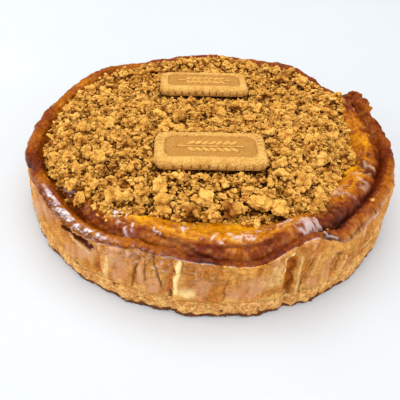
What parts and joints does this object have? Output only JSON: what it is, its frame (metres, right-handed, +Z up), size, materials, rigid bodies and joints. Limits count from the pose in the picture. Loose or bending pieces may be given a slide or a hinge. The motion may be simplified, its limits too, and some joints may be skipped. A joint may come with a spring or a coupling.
{
  "type": "burnt cheesecake",
  "caption": "Round burnt-topped cheesecake on a baked biscuit base, with a curled rim, a heap of biscuit crumbs and oblong biscuits resting on top.",
  "frame": {"origin": "centre of the round foot on the surface that the cake rests on", "axes": "+Z up through the cake, -Y towards the front, where the curled rim and the skin show past the crumbs, +X to the right"},
  "size_m": [0.2372, 0.2375, 0.0536],
  "materials": {
    "baked_base": "grainy baked biscuit, matte",
    "burnt_cheese": "browned cheese skin, glossy where burnt",
    "crumb": "dry sandy crumb, matte",
    "biscuit": "dry pressed biscuit, matte"
  },
  "bodies": {
    "root": {"biscuit_base": "baked_base", "cheesecake": "burnt_cheese", "crumb_topping": "crumb", "biscuit_front": "biscuit", "biscuit_back": "biscuit"}
  },
  "joints": []
}
